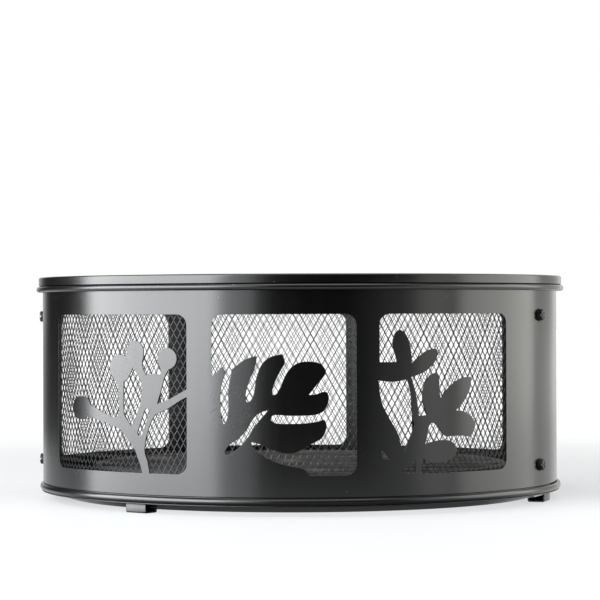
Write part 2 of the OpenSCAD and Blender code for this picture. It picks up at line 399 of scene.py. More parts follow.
class Graph:
    """The nodes of one material or world."""

    def __init__(self, tree: bpy.types.NodeTree) -> None:
        """Empties the node tree and gets ready to fill it."""
        self.tree = tree
        tree.nodes.clear()

    def node(self, kind: str, settings: dict[str, object] | None = None,
             sockets: dict[object, object] | None = None) -> bpy.types.Node:
        """Adds a node.

        Args:
            kind: the node's type.
            settings: its properties, set first.
            sockets: values or links of its input sockets, by name or number.

        Returns:
            The new node.
        """
        node = self.tree.nodes.new(kind)
        for key, value in (settings or {}).items():
            setattr(node, key, value)
        for key, value in (sockets or {}).items():
            if isinstance(value, Value):
                value = value.socket
            if isinstance(value, bpy.types.NodeSocket):
                self.tree.links.new(value, node.inputs[key])
            else:
                node.inputs[key].default_value = value
        return node

    def value(self, kind: str, settings: dict[str, object], sockets: dict[object, object]) -> Value:
        """Adds a node and wraps its first output as a number."""
        return Value(self, self.node(kind, settings, sockets).outputs[0])

    def place(self) -> bpy.types.NodeSocket:
        """The point on the piece, in metres."""
        return self.node("ShaderNodeTexCoord").outputs["Object"]

    def axes(self) -> list[Value]:
        """The three coordinates of that point."""
        return [Value(self, out) for out in
                self.node("ShaderNodeSeparateXYZ", {}, {0: self.place()}).outputs]

    def distance(self, spot: Spot) -> Value:
        """Distance of that point from a spot on the piece, in metres."""
        node = self.node("ShaderNodeVectorMath", {"operation": "DISTANCE"}, {0: self.place(), 1: spot})
        return Value(self, node.outputs["Value"])

    def grains(self, scale: float) -> tuple[Value, Value]:
        """Scattered grains on the piece.

        Args:
            scale: cells per metre, with one grain in each.

        Returns:
            The distance from the nearest grain, in cells, and that grain's own random number.
        """
        cells = self.node("ShaderNodeTexVoronoi", {"feature": "F1"},
                          {"Vector": self.place(), "Scale": scale, "Randomness": 1.0})
        pick = self.value("ShaderNodeSeparateColor", {}, {0: cells.outputs["Color"]})
        return Value(self, cells.outputs["Distance"]), pick

    def noise(self, scale: float, detail: float = 2.0, stretch: Spot = (1, 1, 1),
              rough: float = 0.5) -> Value:
        """Noise on the piece's own coordinates, from 0 to 1.

        Args:
            scale: waves per metre.
            detail: number of finer layers.
            stretch: factor on each axis.
            rough: strength of the finer layers.

        Returns:
            The noise value.
        """
        spot = self.node("ShaderNodeMapping", {}, {"Vector": self.place(), "Scale": stretch}).outputs[0]
        return self.value("ShaderNodeTexNoise", {}, {"Vector": spot, "Scale": scale, "Detail": detail,
                                                     "Roughness": rough})

    def mix(self, factor: object, a: object, b: object) -> bpy.types.NodeSocket:
        """Mixes two colours; both may be links or plain colours."""
        a, b = (rgba(side) if isinstance(side, tuple) else side for side in (a, b))
        return self.node("ShaderNodeMix", {"data_type": "RGBA"}, {0: factor, 6: a, 7: b}).outputs[2]

    def bump(self, strength: float, depth: float, height: Value) -> bpy.types.NodeSocket:
        """Normal of a surface raised by a height, with its depth in metres."""
        node = self.node("ShaderNodeBump", {}, {"Strength": strength, "Distance": depth, "Height": height})
        return node.outputs[0]

    def tell_apart(self, seen: bpy.types.Node, mirrored: bpy.types.Node, output: str) -> None:
        """Ends the graph in one shader for the camera and another for every other ray.

        Args:
            seen: the shader that the camera sees.
            mirrored: the shader that lights and reflections meet.
            output: the type of the output node.
        """
        direct = self.node("ShaderNodeLightPath").outputs["Is Camera Ray"]
        both = self.node("ShaderNodeMixShader", {}, {0: direct, 1: mirrored.outputs[0],
                                                     2: seen.outputs[0]})
        self.node(output, {}, {"Surface": both.outputs[0]})

    def surface(self, **sockets: object) -> None:
        """Ends the material in a Principled shader; keys are socket names with _ for spaces."""
        shader = self.node("ShaderNodeBsdfPrincipled", {},
                           {key.replace("_", " "): value for key, value in sockets.items()})
        self.node("ShaderNodeOutputMaterial", {}, {"Surface": shader.outputs[0]})


def rgba(colour: Colour) -> tuple[float, float, float, float]:
    """Colour with full opacity."""
    return (*colour, 1.0)


def blank(name: str) -> tuple[bpy.types.Material, Graph]:
    """New material and its empty graph.

    Args:
        name: the material's name.

    Returns:
        The material and the graph.
    """
    material = bpy.data.materials.new(name)
    material.use_nodes = True
    return material, Graph(material.node_tree)


BLACK: Colour = (0.0, 0.0, 0.0)
WHITE: Colour = (1.0, 1.0, 1.0)
DUST: Colour = (0.42, 0.41, 0.40)
RUBBED_STEEL: Colour = (0.16, 0.16, 0.165)
DARK_SCALE: Colour = (0.012, 0.0115, 0.011)
PALE_SCALE: Colour = (0.035, 0.032, 0.03)
ASH: Colour = (0.11, 0.105, 0.10)
BLACK_OXIDE: Colour = (0.02, 0.02, 0.021)
WORN_OXIDE: Colour = (0.25, 0.245, 0.24)


@dataclass(frozen=True)
class CoatedSteel:
    """Satin powder coat on sheet steel, with peel, streaks, dust and pinholes."""

    name: str
    colour: Colour = (0.0007, 0.0007, 0.0008)
    gloss: float = 0.22
    peel: float = 0.1
    dust: float = 1.0
    rubbed: float = 0.0
    shine: float = 0.5
    knock: Spot = (-0.088, -0.361, 0.142)

    def made(self) -> bpy.types.Material:
        """Builds the material.

        Returns:
            The new material.
        """
        material, g = blank(self.name)
        clouds = g.noise(scale=7.0, detail=4.0)
        streaks = g.noise(scale=90.0, detail=3.0, stretch=(1.0, 1.0, 0.06))
        grain = g.noise(scale=620.0)
        near, pick = g.grains(150.0)
        level = g.axes()[2]
        by_rims = level.rise(0.272, 0.3) + (1 - level.rise(0.02, 0.05))
        speck = (1 - near.rise(0.035, 0.075)) * (pick > 0.985 - by_rims * 0.06) * self.dust
        near, pick = g.grains(420.0)
        powder = (1 - near.rise(0.06, 0.14)) * (pick > 0.96) * clouds.rise(0.5, 0.72) * self.dust
        film = clouds.rise(0.42, 0.8) * 0.3 + streaks.rise(0.45, 0.8) * 0.2
        worn = g.noise(scale=300.0, detail=3.0).rise(0.48, 0.66) * self.rubbed
        knocked = 1 - g.distance(self.knock).rise(0.008, 0.04)
        patch = knocked + g.noise(scale=6.0, detail=1.0).rise(0.7, 0.8) * 0.4
        scuffs = g.noise(scale=520.0, stretch=(1.0, 1.0, 0.7)).rise(0.585, 0.62) * patch
        base = g.mix(film, self.colour, tuple(c * 1.9 + 0.0005 for c in self.colour))
        base = g.mix(worn, base, RUBBED_STEEL)
        base = g.mix(speck + powder * 0.6, base, DUST)
        rough = (self.gloss + (clouds - 0.5) * 0.07 + (streaks - 0.5) * 0.06 + speck * 0.4 + worn * 0.08
                 + scuffs * 0.35)
        g.surface(Base_Color=base, Roughness=rough, Metallic=worn * 0.5, Specular_IOR_Level=self.shine,
                  Normal=g.bump(self.peel, 0.15 * MM, grain + speck * 0.8))
        return material


@dataclass(frozen=True)
class ScreenSteel:
    """Expanded steel after coating: dark, with brighter patches here and there."""

    name: str
    colour: Colour = (0.008, 0.008, 0.0085)

    def made(self) -> bpy.types.Material:
        """Builds the material.

        Returns:
            The new material.
        """
        material, g = blank(self.name)
        patch = g.noise(scale=60.0, detail=3.0)
        base = g.mix(patch.rise(0.4, 0.75), self.colour, tuple(c * 1.9 for c in self.colour))
        g.surface(Base_Color=base, Roughness=0.34 + patch * 0.2, Specular_IOR_Level=0.32,
                  Normal=g.bump(0.25, 0.1 * MM, g.noise(scale=900.0)))
        return material


@dataclass(frozen=True)
class RodSteel:
    """Fire-darkened steel rod: matt scale with ash-grey bloom."""

    name: str
    ash: float = 0.5

    def made(self) -> bpy.types.Material:
        """Builds the material.

        Returns:
            The new material.
        """
        material, g = blank(self.name)
        scale = g.noise(scale=160.0, detail=5.0, rough=0.65)
        bloom = g.noise(scale=24.0, detail=4.0)
        base = g.mix(scale.rise(0.35, 0.7), DARK_SCALE, PALE_SCALE)
        base = g.mix(bloom.rise(0.5, 0.78) * self.ash, base, ASH)
        g.surface(Base_Color=base, Roughness=0.52 + scale * 0.28, Metallic=0.35,
                  Normal=g.bump(0.5, 0.3 * MM, scale))
        return material


@dataclass(frozen=True)
class BlackOxide:
    """Black oxide on screws, washers and nuts, worn bright where a tool has turned them."""

    name: str
    wear: float = 0.4

    def made(self) -> bpy.types.Material:
        """Builds the material.

        Returns:
            The new material.
        """
        material, g = blank(self.name)
        patch = g.noise(scale=700.0, detail=3.0)
        base = g.mix(patch.rise(0.5, 0.8) * self.wear, BLACK_OXIDE, WORN_OXIDE)
        g.surface(Base_Color=base, Roughness=0.3 + patch * 0.2, Metallic=0.85,
                  Normal=g.bump(0.2, 0.1 * MM, patch))
        return material


class Finish(Enum):
    """The finishes of the fire pit, one material each."""

    WALL = CoatedSteel("wall_coating")
    WALL_EDGE = CoatedSteel("wall_cut_edge", (0.012, 0.012, 0.0125), 0.33, rubbed=0.5)
    RIM = CoatedSteel("rim_coating", (0.0008, 0.0008, 0.0009), 0.24, peel=0.05, dust=1.3)
    PAN = CoatedSteel("pan_coating", (0.005, 0.005, 0.0053), 0.34, dust=1.5)
    # Matt black without shine: painted shade in the groove above the bottom bead and in the band under the
    # rim, and also the rubber of the foot pads.
    JOINT = CoatedSteel("painted_shade_and_pad_rubber", (0.0012, 0.0012, 0.0012), 0.9, peel=0.4, dust=0.2, shine=0.03)
    FOOT = CoatedSteel("foot_coating", (0.02, 0.02, 0.0215), 0.36, rubbed=0.12)
    SCREEN = ScreenSteel("screen_steel")
    WELD = RodSteel("weld_metal", 0.3)
    FASTENER = BlackOxide("fastener_steel")
    ROD = RodSteel("grate_steel")


class Paint:
    """Builds each finish once and puts it on pieces."""

    made: dict[Finish, bpy.types.Material] = {}

    @classmethod
    def of(cls, finish: Finish) -> bpy.types.Material:
        """The material of a finish.

        Args:
            finish: the finish.

        Returns:
            Its material, which every piece shares.
        """
        if finish not in cls.made:
            cls.made[finish] = finish.value.made()
        return cls.made[finish]

    @classmethod
    def dress(cls, piece: bpy.types.Object, *finishes: Finish) -> None:
        """Gives a piece its material slots, in order.

        Args:
            piece: the piece.
            finishes: one finish for each slot.
        """
        piece.data.materials.clear()
        for finish in finishes:
            piece.data.materials.append(cls.of(finish))


def hand_over(piece: bpy.types.Object, body: str, slot: str, finishes: Sequence[Finish],
              *nodes: str) -> None:
    """Args:
        piece: the piece.
        body: the body that it rides on.
        slot: not used.
        finishes: its finishes, in order.
        nodes: the nodes that it stands for, if any.
    """
    Paint.dress(piece, *finishes)
    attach(piece, body)
    if nodes:
        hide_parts(*nodes)
    log.info("%s: %d faces, rides on %s", piece.name, len(piece.data.polygons), body)


# --------------------------------------------------------------------------- cut-out figures
@dataclass(frozen=True)
class Figure:
    """A flat figure left standing in a window, in millimetres from the window's middle."""

    body: Runs = ()
    berries: Sequence[Spot] = ()
    openings: Sequence[Runs] = ()
    slots: Sequence[tuple[Point, Point, float]] = ()
    shift: float = 0.0

    def opened(self, cutter: bpy.types.Object, near: float, far: float) -> None:
        """Takes the figure out of a window cutter, so that the sheet keeps it.

        Args:
            cutter: the window's cutting block, which is changed.
            near: distance of the block's near side from the axis, in metres.
            far: distance of its far side.
        """
        reach = (near - 5 * MM, far + 5 * MM)
        if self.body:
            Bench.cut(cutter, self._slab(outline(self.body), *reach))
        for x, y, r in self.berries:
            Bench.cut(cutter, self._slab(arc((x, y), r, 0.0, 352.5, 47), *reach))
        for runs in self.openings:
            Bench.cut(cutter, self._slab(outline(runs), near, far), "UNION")
        for start, end, r in self.slots:
            lean = math.degrees(math.atan2(end[1] - start[1], end[0] - start[0]))
            ends = arc(end, r, lean - 90, lean + 90, 10) + arc(start, r, lean + 90, lean + 270, 10)
            Bench.cut(cutter, self._slab(ends, near, far), "UNION")

    def _slab(self, points: Sequence[Point], near: float, far: float) -> bpy.types.Object:
        """Slab of one outline, moved by the figure's shift."""
        return prism([(x + self.shift, y) for x, y in points], "slab", near, far)


BERRY_BRANCH = Figure(
    body=[
        [(73, -114), (69, -92), (64, -78), (65, -64), (69, -50), (75, -36)],
        [(81, -27), (100, -19), (118, -8), (136, 2)],
        [(136, 12), (118, 2), (101, -7)],
        [(84, -13), (91, 8), (96, 24)],
        [(104, 36), (94, 44)],
        [(88, 38), (90, 31)],
        [(89, 25), (78, 27)],
        [(67, 24), (62, 33), (60, 42), (62, 52)],
        [(48, 62), (36, 56)],
        [(31, 50), (18, 50)],
        [(3, 28), (9, 20), (16, 12), (19, 2), (19, -15)],
        [(19, -29), (8, -32), (-10, -27), (-30, -20), (-40, -17), (-45, -10), (-51, -7), (-64, -6),
         (-77, -8), (-84, -16), (-85, -25), (-79, -33), (-68, -37), (-57, -36), (-48, -33),
         (-38, -34), (-18, -38), (2, -42), (20, -48), (34, -60)],
        [(47, -73), (52, -84), (57, -96)],
        [(62, -114), (68, -114)],
    ],
    berries=[(48, 56, 14.5), (18.5, 34.5, 17), (99, 47, 14.2)],
    openings=[[
        [(44, 35), (40, 27), (34, 19)],
        [(28, 16), (27.5, -2), (28, -26), (33, -34)],
        [(41, -43), (46, -38), (51, -26), (57, -12), (60, 2), (58, 16), (51, 27)],
    ]],
    slots=[((56, -52), (68, -23), 4)],
    shift=2.0,
)

LOBED_LEAF = Figure(
    body=[
        [(-106, 16), (-100, 20)],
        [(-94, 25.5), (-88, 31)],
        [(-82.5, 36), (-78.5, 32), (-79, 24), (-82, 14), (-84, 2), (-84, -16), (-83, -29), (-79.5, -38),
         (-75, -29), (-73.5, -12), (-74, 4), (-72, 18), (-70, 26)],
        [(-69.5, 33), (-62, 39), (-50, 47)],
        [(-36, 51), (-37, 40), (-43, 25), (-48, 12), (-50.5, 0), (-50, -8), (-46.5, -9), (-42, -4),
         (-39, 6), (-37, 20), (-32, 35), (-25, 45), (-14, 51)],
        [(-2, 53), (1, 42), (-5, 31), (-11, 19), (-15, 8), (-15.5, 1), (-11, 1), (-6, 8), (-1, 20),
         (5, 31), (13, 39), (24, 43), (38, 43), (48, 40), (54, 32), (53, 26), (44, 15)],
        [(32, 0), (42, 1), (51, 4)],
        [(56, 3), (58, -4), (56, -14), (50, -22), (40, -26), (24, -27), (6, -27), (-10, -26), (-17, -28),
         (-17, -33), (-10, -37), (8, -37.5), (26, -37), (42, -35)],
        [(52, -32), (55, -40), (53, -49), (48, -57), (39, -62), (28, -68), (14, -75), (2, -76),
         (-14, -72), (-30, -65)],
        [(-44, -61), (-40, -69), (-30, -78), (-17, -85), (0, -91), (16, -94), (27, -98)],
        [(36, -114), (-30, -114)],
        [(-106, -114), (-106, -40)],
    ],
    openings=[[
        [(-20.5, -19.5), (-33, -24), (-42, -33), (-50, -46), (-60, -57), (-72, -65)],
        [(-79, -74), (-76, -79), (-66, -74), (-55, -64), (-45, -51), (-36, -37)],
    ]],
    shift=1.0,
)

PADDLE_STEM = Figure(
    body=[
        [(-114, 42), (-96, 42)],
        [(-80, 42), (-83, 54), (-86, 67), (-83, 79), (-76, 84), (-69, 80), (-63, 69), (-60, 54)],
        [(-59, 40), (-50, 48), (-38, 56), (-26, 59)],
        [(-20, 56), (-22, 46), (-29, 37), (-42, 28)],
        [(-60, 22), (-55, 6), (-51, -14)],
        [(-49, -29), (-44, -29)],
        [(-37, -28), (-43, -14), (-44, -2), (-42, 10), (-36, 20), (-28, 26), (-21, 26), (-18, 16),
         (-18, 4)],
        [(-16, -7), (-7, 4), (6, 14), (20, 20)],
        [(35, 21), (34, 8), (27, -5), (19, -15)],
        [(9, -23), (22, -25), (34, -31)],
        [(42, -40), (40, -50)],
        [(34, -59), (18, -57), (2, -57), (-8, -57), (-15, -51), (-22, -43)],
        [(-28, -38), (-34, -43), (-37, -56)],
        [(-40, -67), (-26, -63), (-8, -62), (4, -66), (10, -75), (5, -84), (-6, -90), (-24, -92),
         (-36, -90)],
        [(-43, -86), (-46, -98)],
        [(-46, -116), (-80, -116)],
        [(-114, -116), (-114, 0)],
    ],
    openings=[
        [
            [(-105, 18), (-86, 16)],
            [(-66, 19), (-61, 2), (-60, -18), (-58, -32)],
            [(-56, -41), (-60, -52), (-66, -64)],
            [(-70, -76), (-75, -66), (-80, -50), (-89, -35), (-97, -22), (-102, -6), (-104, 8)],
        ],
        [[(-101, -73)], [(-88, -85)], [(-101, -85)]],
        [
            [(-75, -102), (-68, -97), (-60, -96)],
            [(-57, -86), (-54, -93)],
            [(-54, -104), (-66, -104)],
        ],
    ],
)


@dataclass(frozen=True)
class Window:
    """One window of the wall, with the screen behind it."""

    name: str
    angle: float
    width: float
    figure: Figure = Figure()

    def cutter(self, mid_z: float, height: float, corner: float, near: float,
               far: float) -> bpy.types.Object:
        """Cutting block of the window, with the figure left out, turned to its angle.

        Args:
            mid_z: height of the window's middle, in metres.
            height: the window's height, in millimetres.
            corner: radius of its corners, in millimetres.
            near: distance of the block's near side from the axis, in metres.
            far: distance of its far side.

        Returns:
            The block.
        """
        w, h, r = self.width / 2, height / 2, corner
        corners = (arc((w - r, h - r), r, 0, 90) + arc((r - w, h - r), r, 90, 180)
                   + arc((r - w, r - h), r, 180, 270) + arc((w - r, r - h), r, 270, 360))
        block = prism(corners, "window_cutter", near, far)
        self.figure.opened(block, near, far)
        block.data.transform(about_axis(self.angle) @ Matrix.Translation((0, 0, mid_z)))
        return block


FRONT_WINDOWS = [
    Window("screen_front_left", -44.0, 258.0, BERRY_BRANCH),
    Window("screen_front_middle", -3.4, 190.0, LOBED_LEAF),
    Window("screen_front_right", 32.4, 207.0, PADDLE_STEM),
]
REAR_WINDOWS = [
    Window("screen_rear_1", 101.75, 202.0),
    *(Window(f"screen_rear_{i + 2}", 143.1 + i * 45.7, 256.0) for i in range(3)),
]


# --------------------------------------------------------------------------- the drum
@dataclass
class Drum:
    """Wall sheets, rim, beads, pan, screens, feet and seam fasteners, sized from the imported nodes."""

    sheet: float = 1.5 * MM
    seam_gap: float = 0.1 * MM
    step: float = 1.2
    edge: float = 0.22 * MM
    sagitta: float = 0.03 * MM
    joggle: float = 1.1 * MM
    joggle_z: float = 25.8 * MM
    bead_reach: float = 9 * MM
    bead_rise: float = 1.1 * MM
    window_z: float = 54 * MM
    window_h: float = 210.5 * MM
    corner: float = 14.0
    hole_r: float = 4.2 * MM
    fit: float = 0.1 * MM
    seat: float = 0.03 * MM
    front_span: tuple[float, float] = (-96.5, 70.0)
    rear_span: tuple[float, float] = (57.4, 274.5)
    seam_angles: tuple[float, float] = (62.9, -91.0)
    screw_heights: tuple[float, float] = (55 * MM, 262 * MM)
    foot_angles: tuple[float, ...] = (-37.0, 71.0, 143.0, 251.0)
    wall_r: float = field(init=False)
    rear_r: float = field(init=False)
    wall_z: Point = field(init=False)

    def __post_init__(self) -> None:
        """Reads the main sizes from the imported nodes."""
        bead_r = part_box("top_bead")[1][0]
        self.wall_r = round(bead_r / MM) * MM - self.bead_reach
        self.rear_r = self.wall_r - self.sheet - self.seam_gap
        self.wall_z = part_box("front_wall_panel")[0][2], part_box("front_wall_panel")[1][2]

    def build(self) -> None:
        """Builds every piece of the drum."""
        self.panel("front_wall_panel", self.wall_r, self.front_span, FRONT_WINDOWS)
        self.panel("rear_wall_panel", self.rear_r, self.rear_span, REAR_WINDOWS)
        self.rim()
        self.beads()
        self.rim_shade_band()
        self.pan()
        Screens(self).build()
        self.feet()
        Fasteners(self).build()

    def panel(self, name: str, outer: float, span: tuple[float, float], windows: Sequence[Window]) -> None:
        """Rolled wall sheet with its windows and screw holes cut and every edge eased.

        Args:
            name: the name of the piece and of its node.
            outer: the sheet's outer radius.
            span: its first and last angle.
            windows: the windows cut in it.
        """
        low, high = self.wall_z
        inner = outer - self.sheet
        j, foot = self.joggle, self.joggle_z
        section = [(inner - j, low), (outer - j, low), (outer - j, foot - j), (outer, foot), (outer, high),
                   (inner, high), (inner, foot + 0.3 * j), (inner - j, foot - 0.7 * j)]
        sweep = span[1] - span[0]
        piece = turned(section, name, round(sweep / self.step), span[0], sweep)
        reach = (outer - 90 * MM, outer + 20 * MM)
        for window in windows:
            mid = self.window_z + self.window_h / 2
            Bench.cut(piece, window.cutter(mid, self.window_h / MM, self.corner, *reach))
        for place in self.screw_places():
            Bench.clear()
            bpy.ops.mesh.primitive_cylinder_add(vertices=32, radius=self.hole_r, depth=60 * MM,
                                                location=(0, 0, outer))
            drill = Bench.named("drill")
            Bench.settle(drill)
            drill.data.transform(place)
            Bench.cut(piece, drill)
        Bench.clean(piece)
        Bench.bevel(piece, self.edge, 2, 50.0, material=1)
        Bench.smooth(piece, 40.0)
        self.round_normals(piece, inner, outer)
        # Painted shade: the wall's outer faces below the joggle, in the groove over the bottom bead, take
        # the matt black finish.
        for face in piece.data.polygons:
            if (face.center.z < foot - 0.1 * MM
                    and math.hypot(face.center.x, face.center.y) > inner - 0.4 * MM):
                face.material_index = 2
        hand_over(piece, DRUM, "wall_coating", (Finish.WALL, Finish.WALL_EDGE, Finish.JOINT), name)

    def round_normals(self, piece: bpy.types.Object, inner: float, outer: float) -> None:
        """Gives the wall's two broad faces the normals of a true cylinder.

        Args:
            piece: the wall sheet.
            inner: its inner radius.
            outer: its outer radius.
        """
        mesh = piece.data
        normals = np.empty(len(mesh.loops) * 3, np.float32)
        mesh.corner_normals.foreach_get("vector", normals)
        normals = normals.reshape(-1, 3)
        flat = [Vector((v.co.x, v.co.y, 0.0)) for v in mesh.vertices]
        for radius, side in ((outer, 1), (inner, -1)):
            on_face = [abs(spot.length - radius) < self.sagitta for spot in flat]
            for face in mesh.polygons:
                if all(on_face[v] for v in face.vertices):
                    for loop, v in zip(face.loop_indices, face.vertices):
                        normals[loop] = side * flat[v].normalized()
        mesh.normals_split_custom_set(normals.tolist())

    def screw_places(self) -> list[Matrix]:
        """Placings of the seam screws.

        Returns:
            For each screw, the move from upright on the axis to its own hole.
        """
        lay = Matrix.Rotation(math.radians(90), 4, "X")
        return [about_axis(a) @ Matrix.Translation((0, 0, z)) @ lay
                for a in self.seam_angles for z in self.screw_heights]

    def rim(self) -> None:
        """Rolled channel over the wall's upper edge."""
        low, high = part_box("top_rim")[0][2] + 0.7 * MM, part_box("top_rim")[1][2]
        outer, t = self.wall_r + 5.7 * MM, self.sheet
        inner = self.rear_r - self.sheet - self.fit - t
        fold, ease = 2.4 * MM, 0.3 * MM
        skirt = [(0.0, low + ease), (t * 0.3, low), (t * 0.7, low), (t, low + ease)]
        section = ([(outer - t + x, z) for x, z in skirt]
                   + arc((outer - fold, high - fold), fold, 0, 90, 6)
                   + arc((inner + fold, high - fold), fold, 90, 180, 6)
                   + [(inner + x, z) for x, z in skirt]
                   + arc((inner + fold, high - fold), fold - t, 180, 90, 4)
                   + arc((outer - fold, high - fold), fold - t, 90, 0, 4))
        piece = turned(section, "top_rim", 288)
        Bench.smooth(piece)
        hand_over(piece, DRUM, "rim_coating", [Finish.RIM], "top_rim")

    def beads(self) -> None:
        """Beads rolled from sheet, open towards the wall."""
        for name in ("top_bead", "bottom_bead"):
            (_, _, low), (reach, _, high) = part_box(name)
            r, mid = (high - low) / 2, (high + low) / 2
            centre = reach - r
            root = self.wall_r + 0.05 * MM
            if name == "top_bead":
                section = ([(root, mid - r * 0.86)] + arc((centre, mid), r, -100, 100, 16)
                           + [(root, mid + r * 0.86)])
            else:
                root -= self.joggle
                tall = (r + self.bead_rise / 2) / r
                section = ([(root, low)]
                           + [(x, low + (z - low) * tall) for x, z in arc((centre, mid), r, -80, 80, 14)]
                           + [(root, high + self.bead_rise - 0.2 * MM)])
            piece = turned(section, name, 288)
            Bench.smooth(piece, 35.0)
            hand_over(piece, DRUM, "rim_coating", [Finish.RIM], name)

    def rim_shade_band(self) -> None:
        """Matt black band between the rim's skirt and the top bead, painted shade for the dark line there.
        """
        low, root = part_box("top_bead")[1][2] - 1.0 * MM, self.wall_r + 0.05 * MM
        high = low + 2.8 * MM
        section = [(root, low), (root + 1.2 * MM, low), (root + 0.9 * MM, high), (root, high)]
        piece = turned(section, "rim_shade_band", 192)
        Bench.smooth(piece)
        hand_over(piece, DRUM, "rim_coating", [Finish.JOINT])

    def pan(self) -> None:
        """Dished pan with a pressed step and a flat flange under the wall."""
        low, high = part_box("base_pan")[0][2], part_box("base_pan")[1][2]
        t, w, floor = self.sheet, self.wall_r, 333 * MM
        under = ([(0.0, low), (120 * MM, low), (floor - 4 * MM, low), (floor, low + 0.25 * MM),
                  (floor + 4 * MM, low + 1.1 * MM), (w - 9 * MM, high - t - 1.2 * MM),
                  (w - 5 * MM, high - t - 0.2 * MM), (w - 1 * MM, high - t)]
                 + arc((w + 2 * MM - t / 2, high - t / 2), t / 2, -90, 90, 6))
        upper = [(w - 1 * MM, high), (w - 5.4 * MM, high - 0.2 * MM), (w - 9.4 * MM, high - 1.2 * MM),
                 (floor + 3.6 * MM, low + t + 1.1 * MM), (floor - 0.4 * MM, low + t + 0.25 * MM),
                 (floor - 4.4 * MM, low + t), (120 * MM, low + t), (0.0, low + t)]
        piece = turned(under + upper, "base_pan", 192, closed=False)
        Bench.smooth(piece, 35.0)
        hand_over(piece, DRUM, "pan_coating", [Finish.PAN], "base_pan")

    def feet(self) -> None:
        """Feet folded from sheet, open at their sides, with a pad inside each."""
        t, width, bend = 2 * MM, 34 * MM, 2.6 * MM
        front, back = 366 * MM, 342 * MM
        front_z, back_z = 12.4 * MM, 5.4 * MM
        outer = ([(front, front_z)] + arc((front - bend, bend), bend, 0, -90, 5)
                 + arc((back + bend, bend), bend, -90, -180, 5) + [(back, back_z)])
        inner = ([(back + t, back_z + 0.5 * MM)] + arc((back + bend, bend), bend - t, 180, 270, 4)
                 + arc((front - bend, bend), bend - t, 270, 360, 4) + [(front - t, front_z - 0.5 * MM)])
        names = ("foot_front_left", "foot_front_right", "foot_rear_right", "foot_rear_left")
        model = drawn([Vector((-width / 2, -r, z)) for r, z in outer + inner], "foot")
        Bench.pull(model, (width, 0, 0))
        Bench.bevel(model, 0.3 * MM, 2, 50.0)
        Bench.smooth(model)
        for name, angle in zip(names, self.foot_angles):
            piece = Bench.copy(model, about_axis(angle))
            piece.name = piece.data.name = name
            hand_over(piece, DRUM, "foot_steel", [Finish.FOOT], name)
        bpy.data.objects.remove(model)
        self.foot_pads(front - t - 0.4 * MM, back + t + 0.4 * MM, t + 0.1 * MM, width - 3 * MM)

    def foot_pads(self, front: float, back: float, low: float, width: float) -> None:
        """Rubber pads inside the feet, which keep them from ringing on the ground.

        Args:
            front: distance of a pad's outer side from the axis.
            back: distance of its inner side.
            low: height of its underside.
            width: its width.
        """
        high = low + 2.4 * MM
        rise = (front - back) * 0.29
        section = [(front, low), (front, high + rise), (back, high), (back, low)]
        model = drawn([Vector((-width / 2, -r, z)) for r, z in section], "pad")
        Bench.pull(model, (width, 0, 0))
        Bench.bevel(model, 0.8 * MM, 3, 50.0)
        Bench.smooth(model, 50.0)
        pads = [Bench.copy(model, about_axis(angle)) for angle in self.foot_angles]
        bpy.data.objects.remove(model)
        hand_over(Bench.join(pads, "foot_pads"), DRUM, "foot_steel", [Finish.JOINT])


